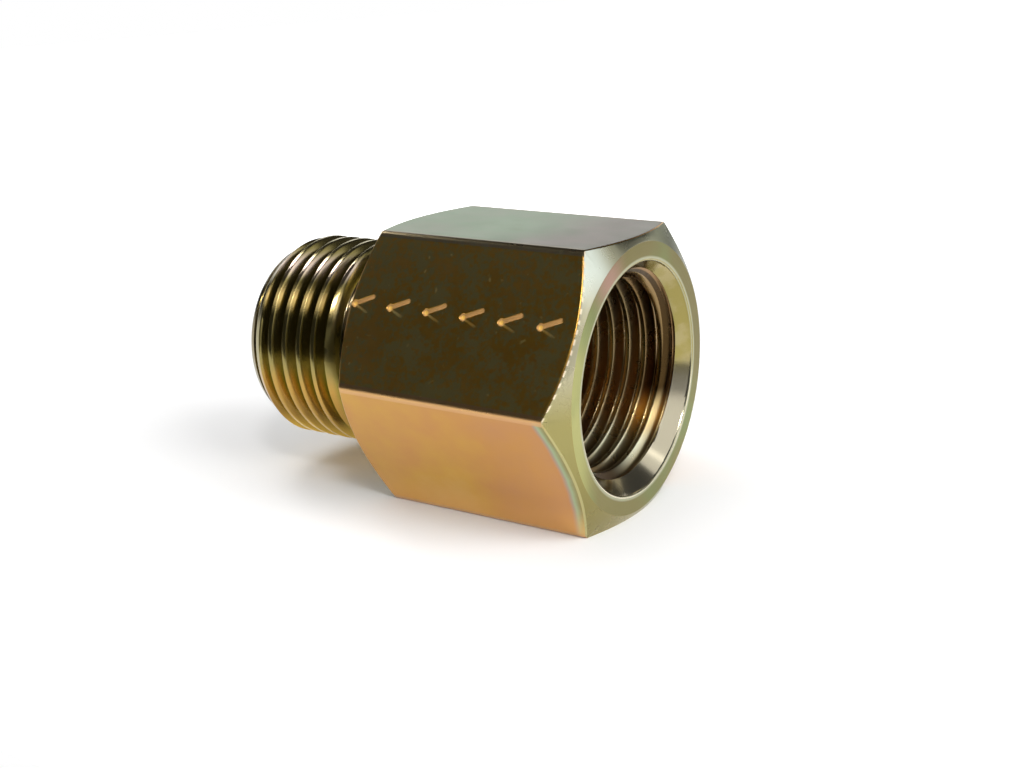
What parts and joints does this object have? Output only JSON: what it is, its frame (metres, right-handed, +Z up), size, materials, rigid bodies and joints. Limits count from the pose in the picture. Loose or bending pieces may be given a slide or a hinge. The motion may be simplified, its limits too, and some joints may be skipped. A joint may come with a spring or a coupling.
{
  "type": "hydraulic adapter fitting",
  "caption": "Straight hexagon-bodied hydraulic adapter with a parallel-threaded stud at one end and a countersunk threaded port at the other.",
  "frame": {"origin": "on the thread axis, half way along the fitting, at the centre of its box", "axes": "+X along the thread axis towards the port's mouth, +Z up with one flat of the hexagon down, +Y across the corners"},
  "size_m": [0.04, 0.031, 0.027],
  "materials": {
    "plated_steel": "yellow-passivated zinc plate over turned steel, semi-gloss with faint iridescence"
  },
  "bodies": {
    "root": {"adapter_body": "plated_steel"}
  },
  "joints": []
}
